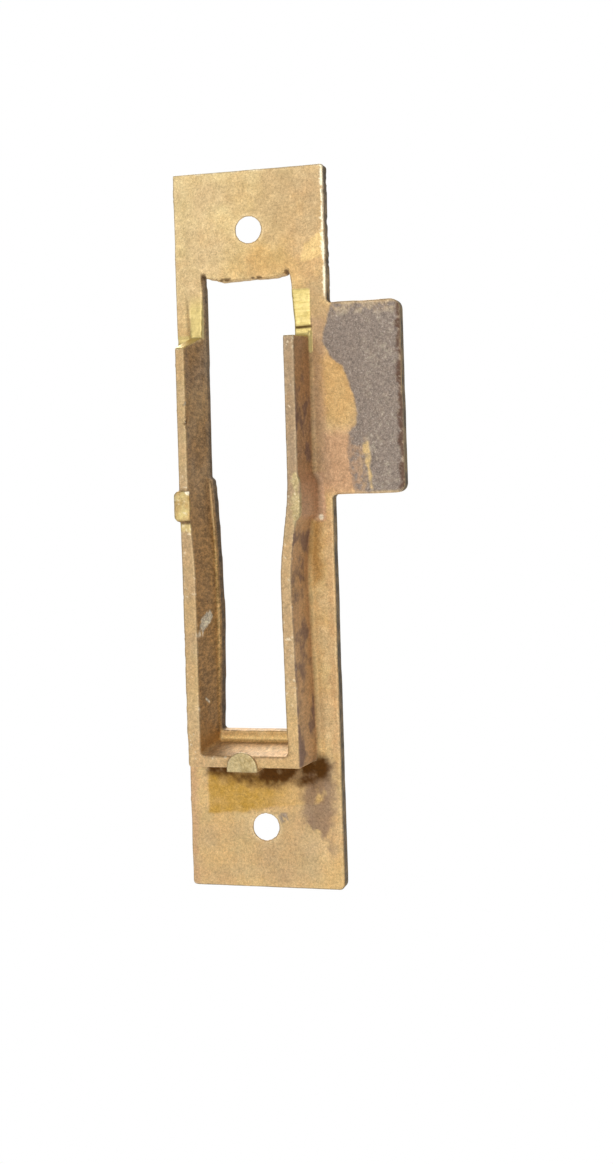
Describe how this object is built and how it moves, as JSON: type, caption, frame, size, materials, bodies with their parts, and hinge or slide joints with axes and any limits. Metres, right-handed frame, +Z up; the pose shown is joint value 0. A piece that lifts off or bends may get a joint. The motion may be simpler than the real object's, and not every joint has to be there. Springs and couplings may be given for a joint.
{
  "type": "mortise lock strike plate",
  "caption": "Cast brass box strike for a mortise lock: flat plate with a latch and bolt window, a side lip, walls around the window and two countersunk screw holes.",
  "frame": {"origin": "midway between the two screw holes, on the seating face that lies against the door jamb (over the window)", "axes": "+X towards the side the lip leads out to, seen from the jamb side; +Z up along the plate; +Y out of the jamb, from the seating face to the show face"},
  "size_m": [0.0412, 0.0127, 0.127],
  "materials": {
    "aged_brass": "worn, matte, tarnished cast brass",
    "dark_brass": "dark brown tarnish on cast brass",
    "oxidised_brass": "grey-brown oxide with worn spots",
    "filed_brass": "bright sawn and filed brass"
  },
  "bodies": {
    "root": {"strike_plate": "aged_brass", "latch_lip": "oxidised_brass", "left_box_wall": "dark_brass", "right_box_wall": "dark_brass", "bottom_box_wall": "aged_brass", "left_side_boss": "filed_brass", "right_side_boss": "aged_brass", "bottom_boss": "filed_brass", "left_sawn_wall_root": "filed_brass", "right_sawn_wall_root": "filed_brass"}
  },
  "joints": []
}
